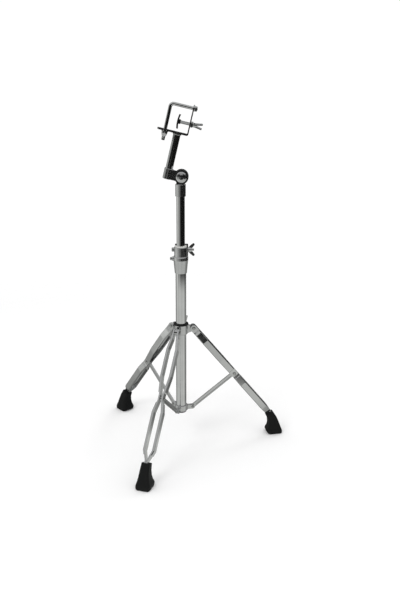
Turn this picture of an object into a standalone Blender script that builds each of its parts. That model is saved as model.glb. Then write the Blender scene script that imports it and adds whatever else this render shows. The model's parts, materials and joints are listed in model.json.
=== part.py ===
"""Double-braced tripod bongo stand, modelled at its real size in metres with +Z up.

The stand is built round its column: a base tube on three folding legs, a telescoping upper
tube, a ratchet tilter and a clamp bracket that grips the wooden bridge between two bongos.
The origin is the middle of the footprint, on the floor.
"""
import math

import bmesh
import bpy
from mathutils import Matrix, Vector

# Shared clearances
FIT = 0.0003                      # running gap between two touching pieces

# Column
BASE_TUBE_RADIUS = 0.0143
UPPER_TUBE_RADIUS = 0.0111
TUBE_WALL = 0.0015
BASE_TUBE_BOTTOM = 0.088
BASE_TUBE_TOP = 0.538
PLUG_FLANGE = 0.0027
PLUG_DEPTH = 0.012
UPPER_TUBE_BOTTOM = 0.340
UPPER_TUBE_TOP = 0.728

# Tripod layout, its heights taken from a datum just above the floor
DATUM_HEIGHT = 0.0055
LEG_COUNT = 3
FIRST_LEG_AZIMUTH = math.radians(11.3)
HINGE_REACH = 0.034
HINGE_HEIGHT = 0.334
KNEE_REACH = 0.151
KNEE_HEIGHT = 0.190
ANKLE_REACH = 0.275
LOW_PIN_REACH = 0.032
LOW_PIN_HEIGHT = 0.0976

# Leg strips
STRIP_WIDTH = 0.019
STRIP_DEPTH = 0.0042
STRIP_SHEET = 0.0018
STRIP_FOOT_WIDTH = 0.015
STRIP_END_HEIGHT = 0.048
SPREAD_HINGE = 0.0065
SPREAD_SPAN = 0.0115
SPREAD_KNEE = 0.00485
SPREAD_FOOT = 0.0024
HINGE_PIN_RADIUS = 0.003
RIVET_RADIUS = 0.0027

# Braces
BRACE_WIDTH = 0.0115
BRACE_THICKNESS = 0.004
LOW_PIN_RADIUS = 0.0025

# Rubber feet
FOOT_HEIGHT = 0.0625
FOOT_SOLE_HALF = 0.0215
FOOT_SQUARENESS = 6.0
FOOT_SIDES = 32

# Leg collar
COLLAR_RADIUS = 0.0185
COLLAR_BOTTOM = 0.319
COLLAR_TOP = 0.3455
COLLAR_BUSH_WALL = 0.0013
COLLAR_FLANGE_RADIUS = 0.02035
COLLAR_FLANGE_THICKNESS = 0.0042
LUG_THICKNESS = 0.0082
LUG_NOSE_RADIUS = 0.008
COLLAR_BOLT_HEIGHT = 0.337

# Lower collar
LOW_COLLAR_RADIUS = 0.0186
LOW_COLLAR_BOTTOM = 0.091
LOW_COLLAR_TOP = 0.106
LOW_EAR_THICKNESS = 0.0026
LOW_LUG_NOSE_RADIUS = 0.006

# Height clamp
CLAMP_SKIRT_BOTTOM = 0.493
CLAMP_SHOULDER_RADIUS = 0.020
CLAMP_TOP = 0.565
CLAMP_RADIUS = 0.0176
CLAMP_BORE_RADIUS = 0.0143
CLAMP_EAR_BOTTOM = 0.533
CLAMP_EAR_LEFT = 0.016
CLAMP_EAR_RIGHT = 0.019
CLAMP_EAR_DEPTH = 0.037
CLAMP_SLIT = 0.0024
CLAMP_BOLT_SETBACK = 0.027
CLAMP_BOLT_HEIGHT = 0.550
CLAMP_BOLT_RADIUS = 0.003
SET_SCREW_HEIGHT = 0.532

# Tilter
TILT_AXIS_OFFSET = 0.0025
TILT_AXIS_HEIGHT = 0.751
TILT_ANGLE = math.radians(13.3)
RATCHET_RADIUS = 0.0185
RATCHET_THICKNESS = 0.0117
SLEEVE_RADIUS = 0.0137
SLEEVE_BOTTOM = 0.700
TILT_BOLT_RADIUS = 0.004
TILT_CAP_RADIUS = 0.014
POST_OFFSET = 0.0355
SOCKET_RADIUS = 0.0118
SOCKET_BOTTOM = -0.014
SOCKET_TOP = 0.0133
SOCKET_FLOOR = 0.004
ARM_TOP = 0.012

# Post and bracket, in the tilter's own frame
POST_RADIUS = 0.00955
POST_FLANGE_RADIUS = 0.0113
POST_FLANGE_THICKNESS = 0.003
PLATE_UNDERSIDE = 0.105
PLATE_THICKNESS = 0.003
PLATE_WIDTH = 0.025
PLATE_LEFT = -0.0875
PLATE_RIGHT = -0.0073
PLATE_TOP = 0.183
ROD_RADIUS = 0.0045
ROD_AXIS_HEIGHT = 0.1745
ROD_LEG_OFFSET = -0.0675
ROD_BEND_RADIUS = 0.0085
ROD_BOTTOM = 0.080
ROD_NUT_SLACK = 0.0016
SCREW_HEIGHT = 0.1345
SCREW_RADIUS = 0.004
SHOE_FACE = -0.0428
SHOE_THICKNESS = 0.0042
SHOE_HALF_HEIGHT = 0.0175
SHOE_WIDTH = 0.020
SHOE_CURVE = 0.002

# Facets
TUBE_SIDES = 28
BOSS_SIDES = 20
PIN_SIDES = 12
HEX_SIDES = 6
SMOOTH_ANGLE = math.radians(35)


def clear_scene():
    """Removes whatever the file already holds."""
    for item in list(bpy.data.objects):
        bpy.data.objects.remove(item, do_unlink=True)


def material(name, colour, roughness, metallic):
    """Returns a Principled material."""
    made = bpy.data.materials.new(name)
    made.use_nodes = True
    shader = made.node_tree.nodes["Principled BSDF"]
    shader.inputs["Base Color"].default_value = (*colour, 1.0)
    shader.inputs["Roughness"].default_value = roughness
    shader.inputs["Metallic"].default_value = metallic
    made.diffuse_color = (*colour, 1.0)
    return made


def frame(name, parent=None, location=(0, 0, 0), turn=(0, 0, 0)):
    """Returns an empty that carries the pieces of one joint."""
    empty = bpy.data.objects.new(name, None)
    bpy.context.scene.collection.objects.link(empty)
    empty.parent = parent
    empty.location = location
    empty.rotation_euler = turn
    return empty


def solid(name, mesh, finish, parent, location=(0, 0, 0), turn=(0, 0, 0)):
    """Makes a mesh into a named piece on its parent."""
    item = bpy.data.objects.new(name, mesh)
    bpy.context.scene.collection.objects.link(item)
    mesh.materials.clear()
    mesh.materials.append(finish)
    mesh.shade_smooth()
    mesh.set_sharp_from_angle(angle=SMOOTH_ANGLE)
    item.parent = parent
    item.location = location
    item.rotation_euler = turn
    return item


def mesh_from(builder, name="shape"):
    """Turns a bmesh into a mesh with its faces pointing out."""
    bmesh.ops.recalc_face_normals(builder, faces=builder.faces)
    mesh = bpy.data.meshes.new(name)
    builder.to_mesh(mesh)
    builder.free()
    return mesh


def turned(profile, sides=BOSS_SIDES, along="Z"):
    """Turns a closed (radius, height) outline about its axis; radius 0 points become poles."""
    builder = bmesh.new()
    rings = []
    for radius, height in profile:
        if radius == 0:
            rings.append([builder.verts.new((0, 0, height))])
            continue
        ring = []
        for index in range(sides):
            angle = 2 * math.pi * index / sides
            ring.append(builder.verts.new((radius * math.cos(angle), radius * math.sin(angle), height)))
        rings.append(ring)
    for first, second in zip(rings, rings[1:] + rings[:1]):
        if len(first) == 1 and len(second) == 1:
            continue
        for index in range(sides):
            after = (index + 1) % sides
            corners = [first[index % len(first)], first[after % len(first)],
                       second[after % len(second)], second[index % len(second)]]
            builder.faces.new(list(dict.fromkeys(corners)))
    if along == "X":
        bmesh.ops.transform(builder, matrix=Matrix.Rotation(math.pi / 2, 4, "Y"), verts=builder.verts)
    if along == "Y":
        bmesh.ops.transform(builder, matrix=Matrix.Rotation(-math.pi / 2, 4, "X"), verts=builder.verts)
    return mesh_from(builder)


def rod_mesh(radius, low, high, sides=BOSS_SIDES, along="Z"):
    """A plain round bar between two stations of its axis."""
    return turned([(0, low), (radius, low), (radius, high), (0, high)], sides, along)


def tube_mesh(outer, inner, low, high, sides=BOSS_SIDES, along="Z"):
    """A plain tube between two stations of its axis."""
    return turned([(inner, low), (outer, low), (outer, high), (inner, high)], sides, along)


def slab(outline, low, high, across="Y"):
    """Extrudes a flat outline; its points are (x, z) across Y, (y, z) across X or (x, y) across Z."""
    builder = bmesh.new()
    layers = []
    for level in (low, high):
        layer = []
        for first, second in outline:
            spot = {"Y": (first, level, second), "X": (level, first, second), "Z": (first, second, level)}
            layer.append(builder.verts.new(spot[across]))
        layers.append(layer)
    builder.faces.new(layers[0])
    builder.faces.new(layers[1][::-1])
    count = len(outline)
    for index in range(count):
        after = (index + 1) % count
        builder.faces.new((layers[0][index], layers[0][after], layers[1][after], layers[1][index]))
    return mesh_from(builder)


def block(low, high):
    """A box between two corners."""
    return slab([(low[0], low[2]), (high[0], low[2]), (high[0], high[2]), (low[0], high[2])],
                low[1], high[1])


def arc(centre, radius, start, end, steps):
    """Points on an arc, angles in radians from the first axis."""
    points = []
    for index in range(steps + 1):
        angle = start + (end - start) * index / steps
        points.append((centre[0] + radius * math.cos(angle), centre[1] + radius * math.sin(angle)))
    return points


def combine(base, *others, operation="UNION"):
    """Joins meshes to a base mesh, or cuts them from it, and returns the new mesh."""
    carrier = bpy.data.objects.new("carrier", base)
    bpy.context.scene.collection.objects.link(carrier)
    tools = []
    for other in others:
        tool = bpy.data.objects.new("tool", other)
        bpy.context.scene.collection.objects.link(tool)
        tools.append(tool)
        step = carrier.modifiers.new("step", "BOOLEAN")
        step.operation = operation
        step.solver = "EXACT"
        step.object = tool
    bpy.context.view_layer.update()
    evaluated = carrier.evaluated_get(bpy.context.evaluated_depsgraph_get())
    result = bpy.data.meshes.new_from_object(evaluated)
    for item in [carrier] + tools:
        bpy.data.objects.remove(item, do_unlink=True)
    return result


def cut(base, *others):
    """Cuts meshes from a base mesh."""
    return combine(base, *others, operation="DIFFERENCE")


def nut_mesh(radius, bore, low, high):
    """A hexagon nut along X with a round bore."""
    blank = rod_mesh(radius, low, high, HEX_SIDES, "X")
    return cut(blank, rod_mesh(bore, low - radius, high + radius, BOSS_SIDES, "X"))


def moved(mesh, location=(0, 0, 0), angle=0.0, axis="Z"):
    """Turns a mesh about an axis through its origin and then moves it."""
    mesh.transform(Matrix.Translation(Vector(location)) @ Matrix.Rotation(angle, 4, axis))
    return mesh


def wing_mesh(hub_radius, hub_length, span, reach, thickness, shank_radius=0.0, shank_from=0.0, bore=0.0):
    """A wing bolt or wing nut along +X, its hub's seat at 0, its ears spread along Z."""
    hub = turned([(0, 0), (hub_radius, 0), (hub_radius, hub_length * 0.35),
                  (hub_radius * 0.72, hub_length), (0, hub_length)], BOSS_SIDES, "X")
    tip = (reach - thickness, span - thickness)
    lobe = arc(tip, thickness, math.radians(-60), math.radians(150), 6)
    outline = [(hub_length * 0.12, 0.001), (hub_length * 0.12, hub_radius * 0.95),
               (hub_length * 0.45, span * 0.62)]
    outline += lobe[::-1]
    outline += [(hub_length * 0.95, hub_radius * 0.6), (hub_length * 0.95, 0.001)]
    upper = slab(outline, -thickness / 2, thickness / 2)
    lower = upper.copy()
    lower.transform(Matrix.Rotation(math.pi, 4, "X"))
    shapes = [upper, lower]
    if shank_radius:
        shapes.append(rod_mesh(shank_radius, shank_from, hub_length * 0.5, PIN_SIDES, "X"))
    mesh = combine(hub, *shapes)
    if bore:
        mesh = cut(mesh, rod_mesh(bore, -hub_length, 2 * hub_length, PIN_SIDES, "X"))
    return mesh


LEG_FALL = math.atan2(HINGE_HEIGHT - KNEE_HEIGHT, KNEE_REACH - HINGE_REACH)
KNEE_DISTANCE = math.hypot(HINGE_HEIGHT - KNEE_HEIGHT, KNEE_REACH - HINGE_REACH)
BRACE_RISE = math.atan2(KNEE_HEIGHT - LOW_PIN_HEIGHT, KNEE_REACH - LOW_PIN_REACH)
BRACE_LENGTH = math.hypot(KNEE_HEIGHT - LOW_PIN_HEIGHT, KNEE_REACH - LOW_PIN_REACH)
STRIP_END = (HINGE_HEIGHT - STRIP_END_HEIGHT) / math.sin(LEG_FALL)
FOOT_TOP_STATION = (HINGE_HEIGHT + DATUM_HEIGHT - FOOT_HEIGHT) / math.sin(LEG_FALL)


# Where a strip bends, as first and last station of each bent stretch
BEND_HINGE = (0.021, 0.051)
BEND_ABOVE_KNEE = (KNEE_DISTANCE - 0.060, KNEE_DISTANCE - 0.0075)
BEND_BELOW_KNEE = (KNEE_DISTANCE + 0.0065, KNEE_DISTANCE + 0.0395)
BEND_FOOT = (FOOT_TOP_STATION - 0.031, FOOT_TOP_STATION - 0.005)
BEND_EASE = 0.0015


def smooth_step(value, start, end):
    """Eases from 0 to 1 between two stations."""
    share = min(max((value - start) / (end - start), 0.0), 1.0)
    return share * share * (3 - 2 * share)


def ramp(value, start, end):
    """Goes straight from 0 to 1 between two stations."""
    return min(max((value - start) / (end - start), 0.0), 1.0)


def strip_spread(station):
    """Half the distance between the two strips' middles, at a station along the leg."""
    spread = SPREAD_HINGE
    spread += (SPREAD_SPAN - SPREAD_HINGE) * ramp(station, *BEND_HINGE)
    spread += (SPREAD_KNEE - SPREAD_SPAN) * ramp(station, *BEND_ABOVE_KNEE)
    spread += (SPREAD_SPAN - SPREAD_KNEE) * ramp(station, *BEND_BELOW_KNEE)
    spread += (SPREAD_FOOT - SPREAD_SPAN) * ramp(station, *BEND_FOOT)
    return spread


def strip_recess(station):
    """Depth of the channel pressed into a strip, flat where the strip is riveted."""
    open_depth = STRIP_DEPTH - STRIP_SHEET
    depth = open_depth * smooth_step(station, 0.012, 0.024)
    depth -= open_depth * smooth_step(station, KNEE_DISTANCE - 0.018, KNEE_DISTANCE - 0.010)
    depth += open_depth * smooth_step(station, KNEE_DISTANCE + 0.010, KNEE_DISTANCE + 0.018)
    depth -= open_depth * smooth_step(station, FOOT_TOP_STATION - 0.020, FOOT_TOP_STATION - 0.008)
    return max(depth, 0.0003)


def strip_half_width(station):
    """Half the strip's width, rounded off at the hinge and drawn in at the foot."""
    half = STRIP_WIDTH / 2
    if station < 0:
        return max(math.sqrt(max(half * half - station * station, 0.0)), 0.0032)
    return half - (STRIP_WIDTH - STRIP_FOOT_WIDTH) / 2 * smooth_step(
        station, FOOT_TOP_STATION - 0.022, FOOT_TOP_STATION - 0.004)


def strip_mesh(side):
    """One pressed leg strip: X runs down the leg from its hinge, Y across it, side is +1 or -1."""
    half = STRIP_WIDTH / 2
    stations = [-half + 0.0004, -half * 0.8, -half * 0.46, 0.0013, 0.012, 0.018, STRIP_END]
    stations += [KNEE_DISTANCE - 0.0185, KNEE_DISTANCE - 0.013, KNEE_DISTANCE + 0.013, KNEE_DISTANCE + 0.0185]
    stations += [FOOT_TOP_STATION - 0.021, FOOT_TOP_STATION - 0.013]
    for bend in (BEND_HINGE, BEND_ABOVE_KNEE, BEND_BELOW_KNEE, BEND_FOOT):
        for station in bend:
            stations += [station - BEND_EASE, station + BEND_EASE]
    stations.sort()
    builder = bmesh.new()
    rings = []
    for station in stations:
        width = strip_half_width(station)
        middle = strip_spread(station)
        outside = middle + STRIP_DEPTH / 2
        inside = middle - STRIP_DEPTH / 2
        floor = inside + strip_recess(station)
        lip = min(STRIP_SHEET, width * 0.4)
        round_off = min(STRIP_DEPTH * 0.35, width * 0.3)
        section = [(-width, inside), (-width, outside - round_off), (-width + round_off, outside),
                   (width - round_off, outside), (width, outside - round_off), (width, inside),
                   (width - lip, inside), (width - lip * 1.4, floor), (-width + lip * 1.4, floor),
                   (-width + lip, inside)]
        rings.append([builder.verts.new((station, side * across, up)) for up, across in section])
    for first, second in zip(rings, rings[1:]):
        for index in range(len(first)):
            after = (index + 1) % len(first)
            builder.faces.new((first[index], first[after], second[after], second[index]))
    builder.faces.new(rings[0])
    builder.faces.new(rings[-1])
    bmesh.ops.triangulate(builder, faces=builder.faces)
    mesh = mesh_from(builder)
    reach = 2 * SPREAD_SPAN
    hinge_hole = rod_mesh(HINGE_PIN_RADIUS + FIT, -reach, reach, PIN_SIDES, "Y")
    knee_hole = moved(rod_mesh(RIVET_RADIUS + FIT, -reach, reach, PIN_SIDES, "Y"), (KNEE_DISTANCE, 0, 0))
    return cut(mesh, hinge_hole, knee_hole)


def pin_mesh(radius, half_grip, head_radius, head):
    """A headed pin along Y with a domed head at each end."""
    edge = half_grip + head * 0.55
    crown = half_grip + head
    return turned([(0, -crown), (head_radius * 0.6, -crown), (head_radius, -edge), (head_radius, -half_grip),
                   (radius, -half_grip), (radius, half_grip), (head_radius, half_grip),
                   (head_radius, edge), (head_radius * 0.6, crown), (0, crown)], PIN_SIDES, "Y")


def knee_rivet_mesh(side):
    """One half of the knee rivet: a domed head with a stub through one strip."""
    inside = SPREAD_KNEE - STRIP_DEPTH / 2
    seat = SPREAD_KNEE + STRIP_DEPTH / 2 + FIT
    head_radius = RIVET_RADIUS * 1.75
    mesh = turned([(0, inside), (RIVET_RADIUS, inside), (RIVET_RADIUS, seat), (head_radius, seat),
                   (head_radius, seat + 0.0008), (head_radius * 0.6, seat + 0.0018), (0, seat + 0.0018)],
                  PIN_SIDES, "Y")
    if side < 0:
        mesh.transform(Matrix.Rotation(math.pi, 4, "X"))
    return mesh


def brace_mesh():
    """A pressed brace: X runs from the lower pin to the knee, with rounded ends and a pressed rib."""
    half = BRACE_WIDTH / 2
    outline = arc((BRACE_LENGTH, 0), half, -math.pi / 2, math.pi / 2, 6)
    outline += arc((0, 0), half, math.pi / 2, 3 * math.pi / 2, 6)
    mesh = slab(outline, -BRACE_THICKNESS / 2, BRACE_THICKNESS / 2)
    groove_half = BRACE_WIDTH * 0.22
    groove_deep = BRACE_THICKNESS * 0.3
    tools = []
    for side in (-1, 1):
        face = side * BRACE_THICKNESS / 2
        tools.append(block((BRACE_WIDTH, min(face - side * groove_deep, face + side * groove_deep), -groove_half),
                           (BRACE_LENGTH - BRACE_WIDTH,
                            max(face - side * groove_deep, face + side * groove_deep), groove_half)))
    tools.append(rod_mesh(LOW_PIN_RADIUS + FIT, -BRACE_WIDTH, BRACE_WIDTH, PIN_SIDES, "Y"))
    tools.append(moved(rod_mesh(RIVET_RADIUS + FIT, -BRACE_WIDTH, BRACE_WIDTH, PIN_SIDES, "Y"),
                       (BRACE_LENGTH, 0, 0)))
    return cut(mesh, *tools)


def rounded_square(angle, squareness):
    """A point on a unit square with rounded corners, at an angle; squareness 2 is a circle."""
    along, across = math.cos(angle), math.sin(angle)
    power = 2 / squareness
    return (math.copysign(abs(along) ** power, along), math.copysign(abs(across) ** power, across))


def foot_mesh():
    """A rubber boot in the leg's frame: its mouth leans with the leg, its foot is a squarish flat sole."""
    sole = FOOT_SOLE_HALF
    # height, how far the middle lies outward of the sole's middle, half length, half width, lean
    levels = [(0.0, 0.0005, sole * 0.93, sole * 0.87, 0),
              (0.0020, -0.0005, sole * 1.02, sole * 0.94, 0),
              (0.0090, -0.0020, sole * 1.07, sole * 0.96, 0),
              (0.0140, -0.0024, sole * 1.00, sole * 0.91, 0),
              (0.0200, -0.0022, sole * 0.86, sole * 0.81, 2),
              (0.0320, -0.0035, sole * 0.72, sole * 0.68, 6),
              (0.0470, -0.0078, sole * 0.60, sole * 0.59, 13),
              (FOOT_HEIGHT, -0.0165, sole * 0.53, sole * 0.53, 22)]
    builder = bmesh.new()
    rings = []
    for height, middle, length, width, lean in levels:
        ring = []
        for index in range(FOOT_SIDES):
            along, across = rounded_square(2 * math.pi * (index + 0.5) / FOOT_SIDES, FOOT_SQUARENESS)
            rise = length * along * math.sin(math.radians(lean))
            run = length * along * math.cos(math.radians(lean))
            ring.append(builder.verts.new((middle + run, width * across, height + rise)))
        rings.append(ring)
    for first, second in zip(rings, rings[1:]):
        for index in range(FOOT_SIDES):
            after = (index + 1) % FOOT_SIDES
            builder.faces.new((first[index], first[after], second[after], second[index]))
    builder.faces.new(rings[0])
    builder.faces.new(rings[-1])
    bmesh.ops.triangulate(builder, faces=builder.faces)
    mesh = mesh_from(builder)
    # the hinge is the origin: the boot is stood at the ankle, then turned into the leg's frame
    mesh.transform(Matrix.Rotation(-LEG_FALL, 4, "Y")
                   @ Matrix.Translation((ANKLE_REACH - HINGE_REACH, 0, -HINGE_HEIGHT - DATUM_HEIGHT)))
    pocket_half = STRIP_FOOT_WIDTH / 2 + FIT
    pocket_side = SPREAD_FOOT + STRIP_DEPTH / 2 + FIT
    mouth = FOOT_TOP_STATION - 0.016
    return cut(mesh, block((mouth, -pocket_side, -pocket_half), (STRIP_END + FIT, pocket_side, pocket_half)))


def leg_collar_mesh():
    """The die-cast leg collar with three hinge lugs and a boss for its wing bolt."""
    bore = BASE_TUBE_RADIUS + FIT + COLLAR_BUSH_WALL + FIT
    edge = 0.0018
    ring = turned([(bore, COLLAR_BOTTOM), (COLLAR_RADIUS - edge, COLLAR_BOTTOM),
                   (COLLAR_RADIUS, COLLAR_BOTTOM + edge), (COLLAR_RADIUS, COLLAR_TOP), (bore, COLLAR_TOP)],
                  TUBE_SIDES)
    inner = (bore + COLLAR_RADIUS) / 2
    lug = [(inner, COLLAR_BOTTOM + edge), (COLLAR_RADIUS, COLLAR_BOTTOM + edge)]
    lug += arc((HINGE_REACH, HINGE_HEIGHT), LUG_NOSE_RADIUS, math.radians(-60), math.radians(115), 8)
    lug += [(COLLAR_RADIUS, COLLAR_TOP - edge), (inner, COLLAR_TOP - edge)]
    shapes = []
    holes = []
    for index in range(LEG_COUNT):
        turn = FIRST_LEG_AZIMUTH + 2 * math.pi * index / LEG_COUNT
        shapes.append(moved(slab(lug, -LUG_THICKNESS / 2, LUG_THICKNESS / 2), angle=turn))
        hole = moved(rod_mesh(HINGE_PIN_RADIUS + FIT, -0.02, 0.02, PIN_SIDES, "Y"),
                     (HINGE_REACH, 0, HINGE_HEIGHT))
        holes.append(moved(hole, angle=turn))
    bolt_turn = FIRST_LEG_AZIMUTH + math.pi / LEG_COUNT
    boss = moved(rod_mesh(COLLAR_BOSS_RADIUS, inner, COLLAR_BOSS_END, BOSS_SIDES, "X"),
                 (0, 0, COLLAR_BOLT_HEIGHT))
    shapes.append(moved(boss, angle=bolt_turn))
    thread = moved(rod_mesh(COLLAR_BOLT_RADIUS + FIT, bore - edge, COLLAR_BOSS_END + edge, PIN_SIDES, "X"),
                   (0, 0, COLLAR_BOLT_HEIGHT))
    holes.append(moved(thread, angle=bolt_turn))
    return cut(combine(ring, *shapes), *holes)


COLLAR_BOSS_RADIUS = 0.0078
COLLAR_BOSS_END = 0.0275
COLLAR_BOLT_RADIUS = 0.004


def collar_bush_mesh():
    """The black nylon bush that lines the leg collar, with its flange on top."""
    inner = BASE_TUBE_RADIUS + FIT
    outer = inner + COLLAR_BUSH_WALL
    seat = COLLAR_TOP + FIT
    top = seat + COLLAR_FLANGE_THICKNESS
    return turned([(inner, COLLAR_BOTTOM + 0.002), (outer, COLLAR_BOTTOM + 0.002), (outer, seat),
                   (COLLAR_FLANGE_RADIUS, seat), (COLLAR_FLANGE_RADIUS, top - 0.001),
                   (COLLAR_FLANGE_RADIUS - 0.001, top), (inner, top)], TUBE_SIDES)


def lower_collar_mesh():
    """The collar at the foot of the base tube, with three forked lugs for the braces."""
    bore = BASE_TUBE_RADIUS + FIT
    edge = 0.0012
    ring = turned([(bore, LOW_COLLAR_BOTTOM), (LOW_COLLAR_RADIUS - edge, LOW_COLLAR_BOTTOM),
                   (LOW_COLLAR_RADIUS, LOW_COLLAR_BOTTOM + edge), (LOW_COLLAR_RADIUS, LOW_COLLAR_TOP - edge),
                   (LOW_COLLAR_RADIUS - edge, LOW_COLLAR_TOP), (bore, LOW_COLLAR_TOP)], TUBE_SIDES)
    inner = (bore + LOW_COLLAR_RADIUS) / 2
    lug = [(inner, LOW_PIN_HEIGHT - LOW_LUG_NOSE_RADIUS)]
    lug += arc((LOW_PIN_REACH, LOW_PIN_HEIGHT), LOW_LUG_NOSE_RADIUS, -math.pi / 2, math.pi / 2, 8)
    lug += [(inner, LOW_PIN_HEIGHT + LOW_LUG_NOSE_RADIUS)]
    slot_half = BRACE_THICKNESS / 2 + FIT
    lug_half = slot_half + LOW_EAR_THICKNESS
    slot_from = LOW_PIN_REACH - BRACE_WIDTH / 2 - 2 * FIT
    shapes = []
    holes = []
    for index in range(LEG_COUNT):
        turn = FIRST_LEG_AZIMUTH + 2 * math.pi * index / LEG_COUNT
        shapes.append(moved(slab(lug, -lug_half, lug_half), angle=turn))
        slot = block((slot_from, -slot_half, LOW_COLLAR_BOTTOM - 0.01),
                     (LOW_PIN_REACH + 0.01, slot_half, LOW_COLLAR_TOP + 0.01))
        holes.append(moved(slot, angle=turn))
        hole = moved(rod_mesh(LOW_PIN_RADIUS + FIT, -0.02, 0.02, PIN_SIDES, "Y"),
                     (LOW_PIN_REACH, 0, LOW_PIN_HEIGHT))
        holes.append(moved(hole, angle=turn))
    return cut(combine(ring, *shapes), *holes)


def height_clamp_mesh():
    """The split clamp on the base tube: a tapered skirt below, a ring and two ears above."""
    tube_bore = BASE_TUBE_RADIUS + FIT
    seat = BASE_TUBE_TOP + FIT
    body = turned([(tube_bore, CLAMP_SKIRT_BOTTOM), (0.0164, CLAMP_SKIRT_BOTTOM),
                   (0.0170, CLAMP_SKIRT_BOTTOM + 0.008), (0.0190, CLAMP_EAR_BOTTOM - 0.012),
                   (CLAMP_SHOULDER_RADIUS, CLAMP_EAR_BOTTOM - 0.004),
                   (CLAMP_SHOULDER_RADIUS, CLAMP_EAR_BOTTOM + 0.004),
                   (0.0190, CLAMP_EAR_BOTTOM + 0.006), (CLAMP_RADIUS, CLAMP_EAR_BOTTOM + 0.0065),
                   (CLAMP_RADIUS, CLAMP_TOP - 0.0014), (CLAMP_RADIUS - 0.0014, CLAMP_TOP),
                   (CLAMP_BORE_RADIUS, CLAMP_TOP), (CLAMP_BORE_RADIUS, seat), (tube_bore, seat - FIT / 2)],
                  TUBE_SIDES)
    round_off = 0.005
    near = CLAMP_BORE_RADIUS * 0.75
    low = CLAMP_EAR_BOTTOM
    ears = [(near, low), (CLAMP_EAR_DEPTH - round_off, low)]
    ears += arc((CLAMP_EAR_DEPTH - round_off, low + round_off), round_off, -math.pi / 2, 0, 3)[1:]
    ears += arc((CLAMP_EAR_DEPTH - round_off, CLAMP_TOP - round_off), round_off, 0, math.pi / 2, 3)
    ears += [(near, CLAMP_TOP)]
    ear_block = slab(ears, -CLAMP_EAR_LEFT, CLAMP_EAR_RIGHT, "X")
    boss = moved(rod_mesh(SET_SCREW_BOSS_RADIUS, -SET_SCREW_BOSS_END, -(tube_bore + 0.001), BOSS_SIDES, "X"),
                 (0, 0, SET_SCREW_HEIGHT))
    mesh = combine(body, ear_block, boss)
    slit = block((-CLAMP_SLIT / 2, CLAMP_BORE_RADIUS * 0.8, low - 0.01),
                 (CLAMP_SLIT / 2, CLAMP_EAR_DEPTH + 0.01, CLAMP_TOP + 0.01))
    bolt_hole = moved(rod_mesh(CLAMP_BOLT_RADIUS + FIT, -0.03, 0.03, PIN_SIDES, "X"),
                      (0, CLAMP_BOLT_SETBACK, CLAMP_BOLT_HEIGHT))
    bush_bore = rod_mesh(CLAMP_BORE_RADIUS, seat, CLAMP_TOP + 0.01, TUBE_SIDES)
    tube_room = rod_mesh(tube_bore, CLAMP_SKIRT_BOTTOM - 0.01, seat + FIT, TUBE_SIDES)
    screw_hole = moved(rod_mesh(SET_SCREW_RADIUS + FIT, -0.03, -0.01, PIN_SIDES, "X"),
                       (0, 0, SET_SCREW_HEIGHT))
    return cut(mesh, slit, bolt_hole, bush_bore, tube_room, screw_hole)


SET_SCREW_BOSS_RADIUS = 0.0056
SET_SCREW_BOSS_END = 0.0235
SET_SCREW_RADIUS = 0.003


def height_bush_mesh():
    """The nylon bush that the upper tube slides in; it turns in the clamp with the tube."""
    inner = UPPER_TUBE_RADIUS + FIT
    lower_outer = BASE_TUBE_RADIUS - TUBE_WALL - FIT
    upper_outer = CLAMP_BORE_RADIUS - FIT
    step = BASE_TUBE_TOP + 2 * FIT
    seat = CLAMP_TOP + FIT
    return turned([(inner, BASE_TUBE_TOP - 0.038), (lower_outer, BASE_TUBE_TOP - 0.038), (lower_outer, step),
                   (upper_outer, step), (upper_outer, seat), (CLAMP_RADIUS - 0.002, seat),
                   (CLAMP_RADIUS - 0.002, seat + 0.0012), (CLAMP_RADIUS - 0.003, seat + 0.002),
                   (inner, seat + 0.002)], TUBE_SIDES)


def tilter_sleeve_mesh():
    """The sleeve on the upper tube with the rear half of the ratchet, in the column's frame."""
    bore = UPPER_TUBE_RADIUS + FIT
    edge = 0.0012
    top = TILT_AXIS_HEIGHT - RATCHET_RADIUS - 2 * FIT
    body = turned([(bore, SLEEVE_BOTTOM), (SLEEVE_RADIUS, SLEEVE_BOTTOM),
                   (SLEEVE_RADIUS, top - edge), (SLEEVE_RADIUS - edge, top), (0, top),
                   (0, UPPER_TUBE_TOP + FIT), (bore, UPPER_TUBE_TOP + FIT)], TUBE_SIDES)
    disc = moved(rod_mesh(RATCHET_RADIUS, FIT / 2, RATCHET_THICKNESS, TUBE_SIDES, "Y"),
                 (TILT_AXIS_OFFSET, 0, TILT_AXIS_HEIGHT))
    neck = block((-SLEEVE_RADIUS * 0.8, FIT / 2, UPPER_TUBE_TOP + 4 * FIT),
                 (SLEEVE_RADIUS * 0.8, SLEEVE_RADIUS * 0.75, TILT_AXIS_HEIGHT - RATCHET_RADIUS * 0.6))
    hole = moved(rod_mesh(TILT_BOLT_RADIUS + FIT, -0.03, 0.03, PIN_SIDES, "Y"),
                 (TILT_AXIS_OFFSET, 0, TILT_AXIS_HEIGHT))
    return cut(combine(body, disc, neck), hole)


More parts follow.
